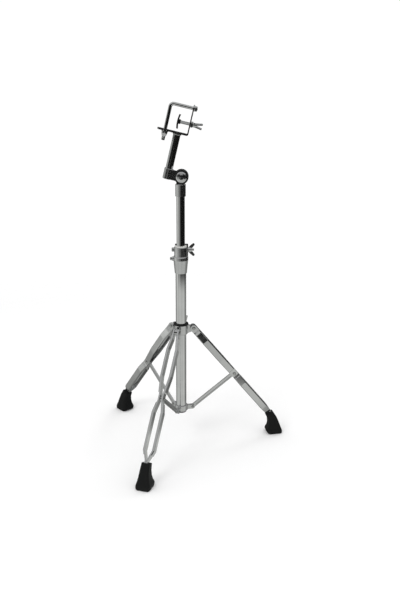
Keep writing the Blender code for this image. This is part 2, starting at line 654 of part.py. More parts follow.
def tilter_arm_mesh():
    """The tilting half of the ratchet with the post's socket, in the tilter's frame."""
    disc = rod_mesh(RATCHET_RADIUS, -RATCHET_THICKNESS, -FIT / 2, TUBE_SIDES, "Y")
    step = 0.0008
    bore = POST_RADIUS + FIT
    web = block((-POST_OFFSET, 1.5 * step - RATCHET_THICKNESS, SOCKET_BOTTOM + step), (-step, -step, ARM_TOP))
    web = cut(web, moved(rod_mesh(bore + step, SOCKET_BOTTOM, SOCKET_TOP, TUBE_SIDES), (-POST_OFFSET, 0, 0)))
    socket = moved(turned([(0, SOCKET_BOTTOM), (SOCKET_RADIUS - step, SOCKET_BOTTOM),
                           (SOCKET_RADIUS, SOCKET_BOTTOM + step), (SOCKET_RADIUS, SOCKET_TOP - step),
                           (SOCKET_RADIUS - step, SOCKET_TOP), (bore, SOCKET_TOP),
                           (bore, SOCKET_BOTTOM + SOCKET_FLOOR), (0, SOCKET_BOTTOM + SOCKET_FLOOR)], TUBE_SIDES),
                   (-POST_OFFSET, 0, 0))
    bolt_hole = rod_mesh(TILT_BOLT_RADIUS + FIT, -0.03, 0.03, PIN_SIDES, "Y")
    screw_hole = moved(rod_mesh(POST_SCREW_RADIUS + FIT, 0.003, 0.02, PIN_SIDES, "Y"), (-POST_OFFSET, 0, 0))
    return cut(combine(disc, web, socket), bolt_hole, screw_hole)


POST_SCREW_RADIUS = 0.0028


def bracket_plate_mesh():
    """The bent steel plate: a seat with an open slot at its left end and an upright at its right."""
    outside = 0.0045
    inside = outside - PLATE_THICKNESS
    top_face = PLATE_UNDERSIDE + PLATE_THICKNESS
    bend = (PLATE_RIGHT - outside, PLATE_UNDERSIDE + outside)
    outline = [(PLATE_LEFT, PLATE_UNDERSIDE)]
    outline += arc(bend, outside, -math.pi / 2, 0, 5)
    outline += [(PLATE_RIGHT, PLATE_TOP), (PLATE_RIGHT - PLATE_THICKNESS, PLATE_TOP)]
    outline += arc(bend, inside, 0, -math.pi / 2, 4)
    outline += [(PLATE_LEFT, top_face)]
    half = PLATE_WIDTH / 2
    mesh = slab(outline, -half, half)
    builder = bmesh.new()
    builder.from_mesh(mesh)
    corners = []
    for edge in builder.edges:
        first, second = edge.verts
        along_thickness = abs(first.co.y - second.co.y) < 1e-6
        at_left = max(first.co.x, second.co.x) < PLATE_LEFT + 1e-6
        at_top = min(first.co.z, second.co.z) > PLATE_TOP - 1e-6
        if along_thickness and (at_left or at_top):
            corners.append(edge)
    bmesh.ops.bevel(builder, geom=corners, offset=0.006, segments=3, profile=0.5, affect="EDGES")
    mesh = mesh_from(builder)
    slot_half = ROD_RADIUS + 0.0005
    slot_end = moved(rod_mesh(slot_half, PLATE_UNDERSIDE - 0.01, top_face + 0.01, BOSS_SIDES),
                     (ROD_LEG_OFFSET, 0, 0))
    slot = block((ROD_LEG_OFFSET - slot_half, -half - 0.01, PLATE_UNDERSIDE - 0.01),
                 (ROD_LEG_OFFSET + slot_half, 0, top_face + 0.01))
    rod_hole = moved(rod_mesh(ROD_RADIUS + 0.0004, -0.03, 0.03, BOSS_SIDES, "X"), (0, 0, ROD_AXIS_HEIGHT))
    screw_hole = moved(rod_mesh(SCREW_RADIUS + 0.0004, -0.03, 0.03, BOSS_SIDES, "X"), (0, 0, SCREW_HEIGHT))
    sink = moved(turned([(0, PLATE_UNDERSIDE - 0.001), (BRACKET_SCREW_RADIUS + FIT, PLATE_UNDERSIDE - 0.001),
                         (BRACKET_SCREW_RADIUS + FIT, PLATE_UNDERSIDE),
                         (BRACKET_SCREW_HEAD + FIT, top_face), (BRACKET_SCREW_HEAD + FIT, top_face + 0.001),
                         (0, top_face + 0.001)], BOSS_SIDES), (-POST_OFFSET, 0, 0))
    return cut(mesh, combine(slot_end, slot), rod_hole, screw_hole, sink)


BRACKET_SCREW_RADIUS = 0.003
BRACKET_SCREW_HEAD = 0.0068


def bracket_screw_mesh():
    """The countersunk screw that holds the bracket plate on the post."""
    top = PLATE_UNDERSIDE + PLATE_THICKNESS
    return turned([(0, top - 0.018), (BRACKET_SCREW_RADIUS, top - 0.018),
                   (BRACKET_SCREW_RADIUS, PLATE_UNDERSIDE), (BRACKET_SCREW_HEAD, top), (0, top)], BOSS_SIDES)


def post_mesh():
    """The post: a bar with a flange under the bracket and a threaded hole for its screw."""
    flange_top = PLATE_UNDERSIDE - FIT
    flange_low = flange_top - POST_FLANGE_THICKNESS
    low = SOCKET_BOTTOM + SOCKET_FLOOR + FIT
    hole = BRACKET_SCREW_RADIUS + FIT
    hole_low = PLATE_UNDERSIDE + PLATE_THICKNESS - 0.018 - 0.001
    return turned([(0, low), (POST_RADIUS - 0.001, low), (POST_RADIUS, low + 0.001), (POST_RADIUS, flange_low - 0.001),
                   (POST_FLANGE_RADIUS, flange_low), (POST_FLANGE_RADIUS, flange_top), (hole, flange_top),
                   (hole, hole_low), (0, hole_low)], TUBE_SIDES)


def clamp_rod_mesh():
    """The bent rod that closes the bracket, in the tilter's frame."""
    bend = (ROD_LEG_OFFSET + ROD_BEND_RADIUS, ROD_AXIS_HEIGHT - ROD_BEND_RADIUS)
    route = [(ROD_END, ROD_AXIS_HEIGHT)]
    route += arc(bend, ROD_BEND_RADIUS, math.pi / 2, math.pi, 6)
    route += [(ROD_LEG_OFFSET, ROD_BOTTOM)]
    sides = 14
    builder = bmesh.new()
    rings = []
    for index, (u, v) in enumerate(route):
        before = Vector(route[max(index - 1, 0)])
        after = Vector(route[min(index + 1, len(route) - 1)])
        heading = (after - before).normalized()
        if index in (1, len(route) - 2):
            heading = Vector((-1, 0)) if index == 1 else Vector((0, -1))
        normal = Vector((-heading.y, heading.x))
        ring = []
        for step in range(sides):
            angle = 2 * math.pi * step / sides
            across = ROD_RADIUS * math.cos(angle)
            ring.append(builder.verts.new((u + normal.x * across, ROD_RADIUS * math.sin(angle),
                                           v + normal.y * across)))
        rings.append(ring)
    for first, second in zip(rings, rings[1:]):
        for step in range(sides):
            after = (step + 1) % sides
            builder.faces.new((first[step], first[after], second[after], second[step]))
    builder.faces.new(rings[0])
    builder.faces.new(rings[-1])
    return mesh_from(builder)


ROD_END = 0.0012


def shoe_mesh():
    """The black pressure shoe: a bowed pad with a boss that the clamp screw turns in."""
    steps = 8
    face = []
    back = []
    for index in range(steps + 1):
        share = 2 * index / steps - 1
        rise = SHOE_HALF_HEIGHT * share
        bow = SHOE_CURVE * share * share
        face.append((SHOE_FACE + bow, SCREW_HEIGHT + rise))
        back.append((SHOE_FACE + bow + SHOE_THICKNESS, SCREW_HEIGHT + rise))
    pad = slab(face + back[::-1], -SHOE_WIDTH / 2, SHOE_WIDTH / 2)
    seat = SHOE_FACE + SHOE_THICKNESS
    boss = moved(rod_mesh(SHOE_BOSS_RADIUS, seat - 0.001, seat + SHOE_BOSS_LENGTH, BOSS_SIDES, "X"),
                 (0, 0, SCREW_HEIGHT))
    socket = moved(rod_mesh(SCREW_RADIUS + FIT, seat + 0.0006, seat + SHOE_BOSS_LENGTH + 0.01, BOSS_SIDES, "X"),
                   (0, 0, SCREW_HEIGHT))
    return cut(combine(pad, boss), socket)


SHOE_BOSS_RADIUS = 0.006
SHOE_BOSS_LENGTH = 0.005


def build():
    """Builds every piece of the stand."""
    clear_scene()
    chrome = material("chrome", (0.80, 0.81, 0.80), 0.08, 1.0)
    pressed = material("pressed_chrome", (0.74, 0.75, 0.74), 0.16, 1.0)
    cast = material("cast_chrome", (0.70, 0.71, 0.70), 0.20, 1.0)
    zinc = material("zinc_plate", (0.62, 0.63, 0.62), 0.28, 1.0)
    rubber = material("rubber", (0.018, 0.018, 0.019), 0.62, 0.0)
    nylon = material("black_nylon", (0.012, 0.012, 0.013), 0.45, 0.0)
    white_nylon = material("white_nylon", (0.72, 0.72, 0.70), 0.45, 0.0)

    stand = frame("stand")
    solid("base_tube", tube_mesh(BASE_TUBE_RADIUS, BASE_TUBE_RADIUS - TUBE_WALL, BASE_TUBE_BOTTOM,
                                 BASE_TUBE_TOP, TUBE_SIDES), chrome, stand)
    spigot = BASE_TUBE_RADIUS - TUBE_WALL - FIT
    plug_seat = BASE_TUBE_BOTTOM - FIT
    solid("base_plug", turned([(0, plug_seat - PLUG_FLANGE), (BASE_TUBE_RADIUS - 0.001, plug_seat - PLUG_FLANGE),
                               (BASE_TUBE_RADIUS, plug_seat - PLUG_FLANGE + 0.001), (BASE_TUBE_RADIUS, plug_seat),
                               (spigot, plug_seat), (spigot, plug_seat + PLUG_DEPTH), (0, plug_seat + PLUG_DEPTH)],
                              TUBE_SIDES), nylon, stand)
    solid("lower_collar", lower_collar_mesh(), cast, stand)
    solid("height_clamp", height_clamp_mesh(), cast, stand)

    # the bolt runs behind the column, from its head on the left to its wing nut on the right
    bolt_place = (0, CLAMP_BOLT_SETBACK, CLAMP_BOLT_HEIGHT)
    bolt_head = -(CLAMP_EAR_LEFT + FIT)
    solid("clamp_bolt", turned([(0, bolt_head - 0.009), (0.0042, bolt_head - 0.009),
                                (0.0056, bolt_head - 0.0075), (0.0056, bolt_head), (CLAMP_BOLT_RADIUS, bolt_head),
                                (CLAMP_BOLT_RADIUS, CLAMP_EAR_RIGHT + 0.016), (0, CLAMP_EAR_RIGHT + 0.016)],
                               BOSS_SIDES, "X"), zinc, stand, bolt_place)
    solid("clamp_wing_nut", wing_mesh(0.0070, 0.0110, 0.0175, 0.0175, 0.0034, bore=CLAMP_BOLT_RADIUS + FIT),
          cast, stand, (CLAMP_EAR_RIGHT + FIT, CLAMP_BOLT_SETBACK, CLAMP_BOLT_HEIGHT))
    screw_tip = BASE_TUBE_RADIUS + FIT
    screw_seat = SET_SCREW_BOSS_END + FIT
    solid("clamp_set_screw", turned([(0, -(screw_seat + 0.005)), (0.0036, -(screw_seat + 0.005)),
                                     (0.0044, -(screw_seat + 0.004)), (0.0044, -screw_seat),
                                     (SET_SCREW_RADIUS, -screw_seat), (SET_SCREW_RADIUS, -screw_tip),
                                     (0, -screw_tip)], PIN_SIDES, "X"), zinc, stand, (0, 0, SET_SCREW_HEIGHT))
    solid("height_bush", height_bush_mesh(), white_nylon, stand)

    # leg collar
    solid("leg_collar", leg_collar_mesh(), cast, stand)
    solid("collar_bush", collar_bush_mesh(), nylon, stand)
    bolt_turn = FIRST_LEG_AZIMUTH + math.pi / LEG_COUNT
    collar_bolt = frame("collar_bolt_axis", stand, (0, 0, COLLAR_BOLT_HEIGHT), (0, 0, bolt_turn))
    bolt_seat = COLLAR_BOSS_END + FIT
    bolt_tip = BASE_TUBE_RADIUS + FIT + COLLAR_BUSH_WALL + FIT
    solid("collar_wing_bolt", wing_mesh(0.0070, 0.0120, 0.0205, 0.0215, 0.0036,
                                        COLLAR_BOLT_RADIUS, bolt_tip - bolt_seat),
          cast, collar_bolt, (bolt_seat, 0, 0))

    # legs and braces
    feet = []
    hinge_grip = SPREAD_HINGE + STRIP_DEPTH / 2 + FIT
    low_grip = BRACE_THICKNESS / 2 + FIT + LOW_EAR_THICKNESS + FIT
    for index in range(LEG_COUNT):
        number = index + 1
        plane = frame(f"leg_plane_{number}", stand, turn=(0, 0, FIRST_LEG_AZIMUTH + 2 * math.pi * index / LEG_COUNT))
        hinge = frame(f"leg_hinge_{number}", plane, (HINGE_REACH, 0, HINGE_HEIGHT), (0, LEG_FALL, 0))
        solid(f"leg_{number}_strip_left", strip_mesh(1), pressed, hinge)
        solid(f"leg_{number}_strip_right", strip_mesh(-1), pressed, hinge)
        solid(f"leg_{number}_rivet_left", knee_rivet_mesh(1), zinc, hinge, (KNEE_DISTANCE, 0, 0))
        solid(f"leg_{number}_rivet_right", knee_rivet_mesh(-1), zinc, hinge, (KNEE_DISTANCE, 0, 0))
        feet.append(solid(f"leg_{number}_foot", foot_mesh(), rubber, hinge))
        solid(f"leg_{number}_hinge_pin", pin_mesh(HINGE_PIN_RADIUS, hinge_grip, 0.005, 0.0018), zinc,
              plane, (HINGE_REACH, 0, HINGE_HEIGHT))
        low = frame(f"brace_axis_{number}", plane, (LOW_PIN_REACH, 0, LOW_PIN_HEIGHT), (0, -BRACE_RISE, 0))
        solid(f"brace_{number}", brace_mesh(), pressed, low)
        solid(f"brace_{number}_pin", pin_mesh(LOW_PIN_RADIUS, low_grip, 0.0042, 0.0016), zinc,
              plane, (LOW_PIN_REACH, 0, LOW_PIN_HEIGHT))

    # upper tube and tilter
    solid("upper_tube", tube_mesh(UPPER_TUBE_RADIUS, UPPER_TUBE_RADIUS - TUBE_WALL, UPPER_TUBE_BOTTOM,
                                  UPPER_TUBE_TOP, TUBE_SIDES), chrome, stand)
    solid("tilter_sleeve", tilter_sleeve_mesh(), cast, stand)
    axis = frame("tilt_axis", stand, (TILT_AXIS_OFFSET, 0, TILT_AXIS_HEIGHT))
    cap = RATCHET_THICKNESS + FIT
    solid("tilter_bolt", turned([(0, -cap - 0.005), (TILT_CAP_RADIUS * 0.45, -cap - 0.0044),
                                 (TILT_CAP_RADIUS * 0.8, -cap - 0.0028), (TILT_CAP_RADIUS, -cap - 0.0008),
                                 (TILT_CAP_RADIUS, -cap), (TILT_BOLT_RADIUS, -cap),
                                 (TILT_BOLT_RADIUS, cap + 0.018), (0, cap + 0.018)], TUBE_SIDES, "Y"), cast, axis)
    # the ears of the tilter's wing nut lie level, behind the ratchet
    wing = moved(wing_mesh(0.0085, 0.0120, 0.0165, 0.0190, 0.0036, bore=TILT_BOLT_RADIUS + FIT),
                     angle=math.pi / 2)
    wing = moved(wing, angle=math.radians(80), axis="Y")
    solid("tilter_wing_nut", wing, cast, axis, (0, cap, 0))

    tilt = frame("tilt_frame", axis, turn=(0, TILT_ANGLE, 0))
    solid("tilter_arm", tilter_arm_mesh(), cast, tilt)
    solid("post", post_mesh(), chrome, tilt, (-POST_OFFSET, 0, 0))
    screw_from = POST_RADIUS + 2 * FIT
    solid("post_set_screw", rod_mesh(POST_SCREW_RADIUS, screw_from, SOCKET_RADIUS + 0.001, PIN_SIDES, "Y"),
          zinc, tilt, (-POST_OFFSET, 0, 0))
    solid("bracket_plate", bracket_plate_mesh(), chrome, tilt)
    solid("bracket_screw", bracket_screw_mesh(), zinc, tilt, (-POST_OFFSET, 0, 0))
    nut_seat = PLATE_RIGHT + FIT
    nut_length = 0.0056
    solid("clamp_screw_nut", nut_mesh(0.0076, SCREW_RADIUS + FIT, nut_seat, nut_seat + nut_length),
          zinc, tilt, (0, 0, SCREW_HEIGHT))

    # pressure shoe and its screw
    solid("pressure_shoe", shoe_mesh(), nylon, tilt)
    wing_seat = nut_seat + nut_length + FIT
    screw_start = SHOE_FACE + SHOE_THICKNESS + 0.0006 + FIT
    screw_mesh = moved(wing_mesh(0.0058, 0.0105, 0.0155, 0.0240, 0.0032, SCREW_RADIUS, screw_start - wing_seat),
                       angle=math.radians(58), axis="X")
    solid("clamp_screw", screw_mesh, cast, tilt, (wing_seat, 0, SCREW_HEIGHT))

    # bent rod, its end nut and its wing nut
    rod_axis = frame("rod_axis", tilt, (0, 0, ROD_AXIS_HEIGHT))
    rod = clamp_rod_mesh()
    solid("clamp_rod", moved(rod, (0, 0, -ROD_AXIS_HEIGHT)), chrome, rod_axis)
    washer = 0.0015
    end_seat = PLATE_RIGHT + FIT
    solid("rod_end_washer", tube_mesh(0.0072, ROD_RADIUS + FIT, end_seat, end_seat + washer, BOSS_SIDES, "X"),
          zinc, rod_axis)
    solid("rod_end_nut", nut_mesh(0.0066, ROD_RADIUS + FIT, end_seat + washer + FIT,
                                  end_seat + washer + FIT + 0.0050), zinc, rod_axis)
    washer_top = PLATE_UNDERSIDE - ROD_NUT_SLACK - ROD_AXIS_HEIGHT
    solid("rod_washer", tube_mesh(0.0088, ROD_RADIUS + FIT, washer_top - washer, washer_top, BOSS_SIDES),
          zinc, rod_axis, (ROD_LEG_OFFSET, 0, 0))
    wing = wing_mesh(0.0075, 0.0110, 0.0160, 0.0165, 0.0034, bore=ROD_RADIUS + FIT)
    wing = moved(wing, angle=math.pi / 2, axis="X")
    wing = moved(wing, angle=math.pi / 2, axis="Y")
    solid("rod_wing_nut", wing, cast, rod_axis, (ROD_LEG_OFFSET, 0, washer_top - washer - FIT))

    # the stand is moved so that the middle of its footprint is the origin
    bpy.context.view_layer.update()
    corners = [foot.matrix_world @ vertex.co for foot in feet for vertex in foot.data.vertices]
    middle_x = (min(spot.x for spot in corners) + max(spot.x for spot in corners)) / 2
    middle_y = (min(spot.y for spot in corners) + max(spot.y for spot in corners)) / 2
    stand.location = (-middle_x, -middle_y, -min(spot.z for spot in corners))
    bpy.context.view_layer.update()


build()
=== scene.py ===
"""Studio view of the bongo stand: the CAD frame dressed with real finishes and finer pieces."""
import json
import logging
import math
from dataclasses import dataclass, field
from enum import Enum

import bpy
from mathutils import Matrix, Vector


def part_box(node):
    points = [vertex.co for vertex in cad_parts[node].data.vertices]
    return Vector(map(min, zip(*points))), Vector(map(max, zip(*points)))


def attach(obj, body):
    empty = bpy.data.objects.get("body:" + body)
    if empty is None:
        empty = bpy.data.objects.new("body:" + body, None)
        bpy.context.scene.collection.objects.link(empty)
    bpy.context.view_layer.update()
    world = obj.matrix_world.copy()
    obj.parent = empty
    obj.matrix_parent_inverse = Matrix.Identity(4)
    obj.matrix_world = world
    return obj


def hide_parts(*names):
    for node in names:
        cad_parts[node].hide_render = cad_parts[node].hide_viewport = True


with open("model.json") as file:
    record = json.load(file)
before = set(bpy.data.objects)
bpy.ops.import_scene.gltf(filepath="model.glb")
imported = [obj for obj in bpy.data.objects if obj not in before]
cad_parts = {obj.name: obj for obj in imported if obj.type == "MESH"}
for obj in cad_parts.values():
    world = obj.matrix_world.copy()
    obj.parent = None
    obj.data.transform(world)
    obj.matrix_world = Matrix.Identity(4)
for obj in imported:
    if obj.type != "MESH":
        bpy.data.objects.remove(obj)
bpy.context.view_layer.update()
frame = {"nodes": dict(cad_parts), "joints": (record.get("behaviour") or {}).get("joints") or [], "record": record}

LOG = logging.getLogger("stand")

# Camera
LENS_MM = 32.0
SENSOR_MM = 24.0
CAMERA_TARGET = Vector((0.05161, 0.0, 0.42152))
CAMERA_DISTANCE = 2.1701
CAMERA_ELEVATION = math.radians(17.864)
CAMERA_ROLL = math.radians(0.21)

# Shared sizes
FIT = 0.0003
EDGE = 0.0006
SIDES = 72

# Column
TUBE_WALL = 0.0015
BUSH_WALL = 0.0013
BUSH_FLANGE = 0.0042
BUSH_LIP = 0.002

# Legs
STRIP_WIDTH = 0.019
STRIP_DEPTH = 0.0042
STRIP_SHEET = 0.0018
STRIP_FOOT_WIDTH = 0.015
STRIP_END = 0.368
FOOT_MOUTH = 0.357
ANKLE_REACH = 0.275

# Bracket, in the tilter's frame
ROD_RADIUS = 0.0045
ROD_HEIGHT = 0.1745
ROD_END = 0.0012
ROD_LEG = -0.0675
ROD_BEND = 0.0085
ROD_LOW = 0.080
POST_OFFSET = -0.0355
POST_RADIUS = 0.00955
POST_LOW = -0.0097
POST_FLANGE = 0.0113
POST_FLANGE_LOW = 0.1017
POST_TOP = 0.1047

# Studio
FLOOR_RADIUS = 1.9
FLOOR_FADE = (1.45, 1.78)
WORLD_FILL = 0.95
HORIZON_FROM = -0.10
CEILING_FROM = 0.35
CEILING_LEVEL = 0.50
BACK_LEVEL = 0.03
# Where each band of the reflected room starts, as a share of a turn from the back by the left, and its level
WALL_BANDS = ((0.05, 0.04), (0.12, 0.30), (0.20, 0.42), (0.28, 0.80), (0.35, 0.20), (0.40, 0.34), (0.455, 0.20),
              (0.48, 0.008), (0.86, 0.006), (0.90, 0.30), (0.95, 0.03))
HORIZON_BANDS = ((0.05, 0.04), (0.12, 0.26), (0.22, 0.55), (0.345, 0.008), (0.86, 0.006), (0.90, 0.20),
                 (0.95, 0.03))
# Painted reflection bands that the floor glows with for glossy rays only: where each starts, as a share of a turn,
# and its level
FLOOR_PAINTED_REFLECTION_BANDS = ((0.08, 0.16), (0.20, 0.40), (0.28, 0.66), (0.34, 0.50), (0.44, 0.60), (0.56, 0.52), (0.66, 0.62),
               (0.76, 0.36), (0.86, 0.10), (0.90, 0.48), (0.95, 0.20))
KEY_POWER = 26.0
RIM_POWER = 9.0


class Finish(Enum):
    """The record's material slots."""

    CHROME = "chrome"
    PRESSED = "pressed_chrome"
    CAST = "cast_chrome"
    ZINC = "zinc_plate"
    RUBBER = "rubber"
    BLACK_NYLON = "black_nylon"
    WHITE_NYLON = "white_nylon"


@dataclass(frozen=True)
class Look:
    """The values that set one finish apart.

    Args:
        colour: base colour, linear RGB.
        roughness: lowest and highest roughness, mixed by noise.
        metallic: 1 for plated metal, 0 for rubber and nylon.
        grain: noise scale per metre.
        bump: strength of the fine surface relief.
    """

    colour: tuple[float, float, float]
    roughness: tuple[float, float]
    metallic: float
    grain: float
    bump: float


LOOKS: dict[Finish, Look] = {
    Finish.CHROME: Look((0.78, 0.79, 0.79), (0.04, 0.09), 1.0, 140.0, 0.02),
    Finish.PRESSED: Look((0.72, 0.73, 0.73), (0.10, 0.20), 1.0, 90.0, 0.06),
    Finish.CAST: Look((0.70, 0.71, 0.71), (0.10, 0.20), 1.0, 180.0, 0.10),
    Finish.ZINC: Look((0.58, 0.59, 0.58), (0.18, 0.30), 1.0, 300.0, 0.10),
    Finish.RUBBER: Look((0.0065, 0.0072, 0.0070), (0.50, 0.68), 0.0, 900.0, 0.25),
    Finish.BLACK_NYLON: Look((0.006, 0.006, 0.0065), (0.32, 0.46), 0.0, 700.0, 0.12),
    Finish.WHITE_NYLON: Look((0.66, 0.66, 0.63), (0.38, 0.50), 0.0, 600.0, 0.08),
}


@dataclass(frozen=True)
class BootLevel:
    """One level of the rubber boot.

    Args:
        height: the level's height above the floor.
        middle: how far its middle lies outward of the sole's middle.
        length: half its size along the leg.
        width: half its size across the leg.
        lean: how far it leans with the leg, in degrees.
    """

    height: float
    middle: float
    length: float
    width: float
    lean: float


BOOT_LEVELS = (
    BootLevel(0.0002, 0.0005, 0.0198, 0.0185, 0.0),
    BootLevel(0.0022, -0.0005, 0.0217, 0.0200, 0.0),
    BootLevel(0.0090, -0.0020, 0.0228, 0.0204, 0.0),
    BootLevel(0.0140, -0.0024, 0.0213, 0.0194, 0.0),
    BootLevel(0.0200, -0.0022, 0.0184, 0.0173, 2.0),
    BootLevel(0.0320, -0.0035, 0.0154, 0.0146, 6.0),
    BootLevel(0.0470, -0.0078, 0.0129, 0.0127, 13.0),
    BootLevel(0.0625, -0.0165, 0.0114, 0.0114, 22.0),
)


@dataclass
class Palette:
    """Makes the procedural material of each finish once and hands it out."""

    made: dict[Finish, bpy.types.Material] = field(default_factory=dict)

    def build(self) -> "Palette":
        """Makes every finish.

        Returns:
            This palette, filled.
        """
        for finish, look in LOOKS.items():
            self.made[finish] = self._material(finish.value, look)
        return self

    def _material(self, name: str, look: Look) -> bpy.types.Material:
        """Makes one finish: noise drives its roughness, its tone and a fine relief.

        Args:
            name: the material slot's name.
            look: the finish's values.

        Returns:
            The new material.
        """
        made = bpy.data.materials.new(f"{name}_finish")
        made.use_nodes = True
        nodes, links = made.node_tree.nodes, made.node_tree.links
        shader = nodes["Principled BSDF"]
        shader.inputs["Metallic"].default_value = look.metallic
        shader.inputs["Specular IOR Level"].default_value = 0.5 if look.metallic else 0.22
        place = nodes.new("ShaderNodeTexCoord")
        cloud = nodes.new("ShaderNodeTexNoise")
        cloud.inputs["Scale"].default_value = look.grain
        cloud.inputs["Detail"].default_value = 5.0
        links.new(place.outputs["Object"], cloud.inputs["Vector"])
        sheen = nodes.new("ShaderNodeMapRange")
        sheen.inputs["To Min"].default_value = look.roughness[0]
        sheen.inputs["To Max"].default_value = look.roughness[1]
        links.new(cloud.outputs["Fac"], sheen.inputs["Value"])
        links.new(sheen.outputs["Result"], shader.inputs["Roughness"])
        tone = nodes.new("ShaderNodeValToRGB")
        dim = tuple(part * 0.90 for part in look.colour)
        tone.color_ramp.elements[0].position = 0.30
        tone.color_ramp.elements[0].color = (*dim, 1.0)
        tone.color_ramp.elements[1].position = 0.70
        tone.color_ramp.elements[1].color = (*look.colour, 1.0)
        haze = nodes.new("ShaderNodeTexNoise")
        haze.inputs["Scale"].default_value = look.grain * 0.2
        links.new(place.outputs["Object"], haze.inputs["Vector"])
        links.new(haze.outputs["Fac"], tone.inputs["Fac"])
        links.new(tone.outputs["Color"], shader.inputs["Base Color"])
        relief = nodes.new("ShaderNodeBump")
        relief.inputs["Strength"].default_value = look.bump
        relief.inputs["Distance"].default_value = 0.0002
        links.new(cloud.outputs["Fac"], relief.inputs["Height"])
        links.new(relief.outputs["Normal"], shader.inputs["Normal"])
        return made

    def paint(self, piece: bpy.types.Object, finish: Finish) -> bpy.types.Object:
        """Gives a piece one finish.

        Args:
            piece: the mesh object.
            finish: the finish to wear.

        Returns:
            The same object.
        """
        piece.data.materials.clear()
        piece.data.materials.append(self.made[finish])
        return piece


@dataclass(frozen=True)
class Made:
    """A finished sub-assembly.

    Args:
        title: what it is, in plain words.
        pieces: the names of its finer pieces.
    """

    title: str
    pieces: tuple[str, ...]


@dataclass
class Wardrobe:
    """Puts the record's finishes on the CAD nodes."""

    palette: Palette

    def dress(self) -> Made:
        """Paints every CAD node with its slot's finish.

        Returns:
            The dressed frame.
        """
        slots = {row["node"]: row["material_slot"] for row in frame["record"]["subparts"]}
        for name, node in frame["nodes"].items():
            self.palette.paint(node, Finish(slots[name]))
        return Made("CAD frame", tuple(sorted(slots)))


def begin(kind: str, **values) -> bpy.types.Object:
    """Adds one primitive with nothing else selected and opens it for editing.

    Args:
        kind: "circle" or "plane".
        values: the primitive's own settings.

    Returns:
        The new object, in edit mode with everything selected.
    """
    bpy.ops.object.select_all(action="DESELECT")
    if kind == "circle":
        bpy.ops.mesh.primitive_circle_add(**values)
    else:
        bpy.ops.mesh.primitive_plane_add(**values)
    bpy.ops.object.mode_set(mode="EDIT")
    bpy.ops.mesh.select_mode(type="FACE" if kind == "plane" else "VERT")
    bpy.ops.mesh.select_all(action="SELECT")
    return bpy.context.active_object


def pull(step: tuple[float, float, float]) -> None:
    """Extrudes the selection by a step.

    Args:
        step: the way and distance, in metres.
    """
    bpy.ops.mesh.extrude_region_move(TRANSFORM_OT_translate={"value": step})


def scale(factors: tuple[float, float, float], centre: tuple[float, float, float]) -> None:
    """Scales the selection about a point.

    Args:
        factors: the scale along each axis.
        centre: the fixed point.
    """
    bpy.ops.transform.resize(value=factors, center_override=centre)


def finish_piece(piece: bpy.types.Object, name: str, place: Matrix, bevel: float = 0.0,
                 steps: int = 2, sharp: float = 32.0) -> bpy.types.Object:
    """Closes edit mode, rounds the edges, moves the piece to its place and smooths it.

    Args:
        piece: the object being edited.
        name: its name.
        place: where it goes; it ends up with its own origin at the frame's origin.
        bevel: how wide its edges are rounded, in metres.
        steps: the segments of that rounding.
        sharp: the angle, in degrees, above which an edge stays sharp.

    Returns:
        The finished object.
    """
    bpy.ops.mesh.select_all(action="SELECT")
    bpy.ops.mesh.normals_make_consistent(inside=False)
    bpy.ops.object.mode_set(mode="OBJECT")
    piece.name = name
    if bevel:
        rounding = piece.modifiers.new("rounding", "BEVEL")
        rounding.width = bevel
        rounding.segments = steps
        rounding.limit_method = "ANGLE"
        rounding.angle_limit = math.radians(28)
        rounding.harden_normals = False
        bpy.ops.object.modifier_apply(modifier="rounding")
    piece.matrix_world = place
    bpy.ops.object.transform_apply(location=True, rotation=True, scale=True)
    bpy.ops.object.shade_smooth_by_angle(angle=math.radians(sharp))
    evening = piece.modifiers.new("evening", "WEIGHTED_NORMAL")
    evening.keep_sharp = True
    evening.weight = 90
    bpy.ops.object.modifier_apply(modifier="evening")
    return piece


def turned(name: str, profile: list[tuple[float, float]], place: Matrix, sides: int = SIDES,
           bevel: float = 0.0) -> bpy.types.Object:
    """Turns a closed outline of (radius, height) points about the Z axis into a ring or a tube.

    Args:
        name: the piece's name.
        profile: the outline, in order round its section.
        place: where the piece goes.
        sides: the facets round it.
        bevel: the rounding of its edges.

    Returns:
        The finished object.
    """
    radius, height = profile[0]
    piece = begin("circle", vertices=sides, radius=radius, location=(0, 0, 0), fill_type="NOTHING")
    bpy.ops.transform.translate(value=(0, 0, height))
    for after_radius, after_height in profile[1:]:
        pull((0, 0, after_height - height))
        scale((after_radius / radius, after_radius / radius, 1), (0, 0, after_height))
        radius, height = after_radius, after_height
    bpy.ops.mesh.select_all(action="DESELECT")
    bpy.ops.mesh.select_mode(type="EDGE")
    bpy.ops.mesh.select_non_manifold()
    bpy.ops.mesh.bridge_edge_loops()
    return finish_piece(piece, name, place, bevel)


def choose_faces(piece: bpy.types.Object, wanted) -> int:
    """Selects the faces that pass a test and nothing else.

    Args:
        piece: the object in edit mode.
        wanted: a test that takes a polygon.

    Returns:
        How many were selected.
    """
    bpy.ops.mesh.select_mode(type="FACE")
    bpy.ops.mesh.select_all(action="DESELECT")
    bpy.ops.object.mode_set(mode="OBJECT")
    count = 0
    for polygon in piece.data.polygons:
        polygon.select = bool(wanted(polygon))
        count += polygon.select
    bpy.ops.object.mode_set(mode="EDIT")
    return count


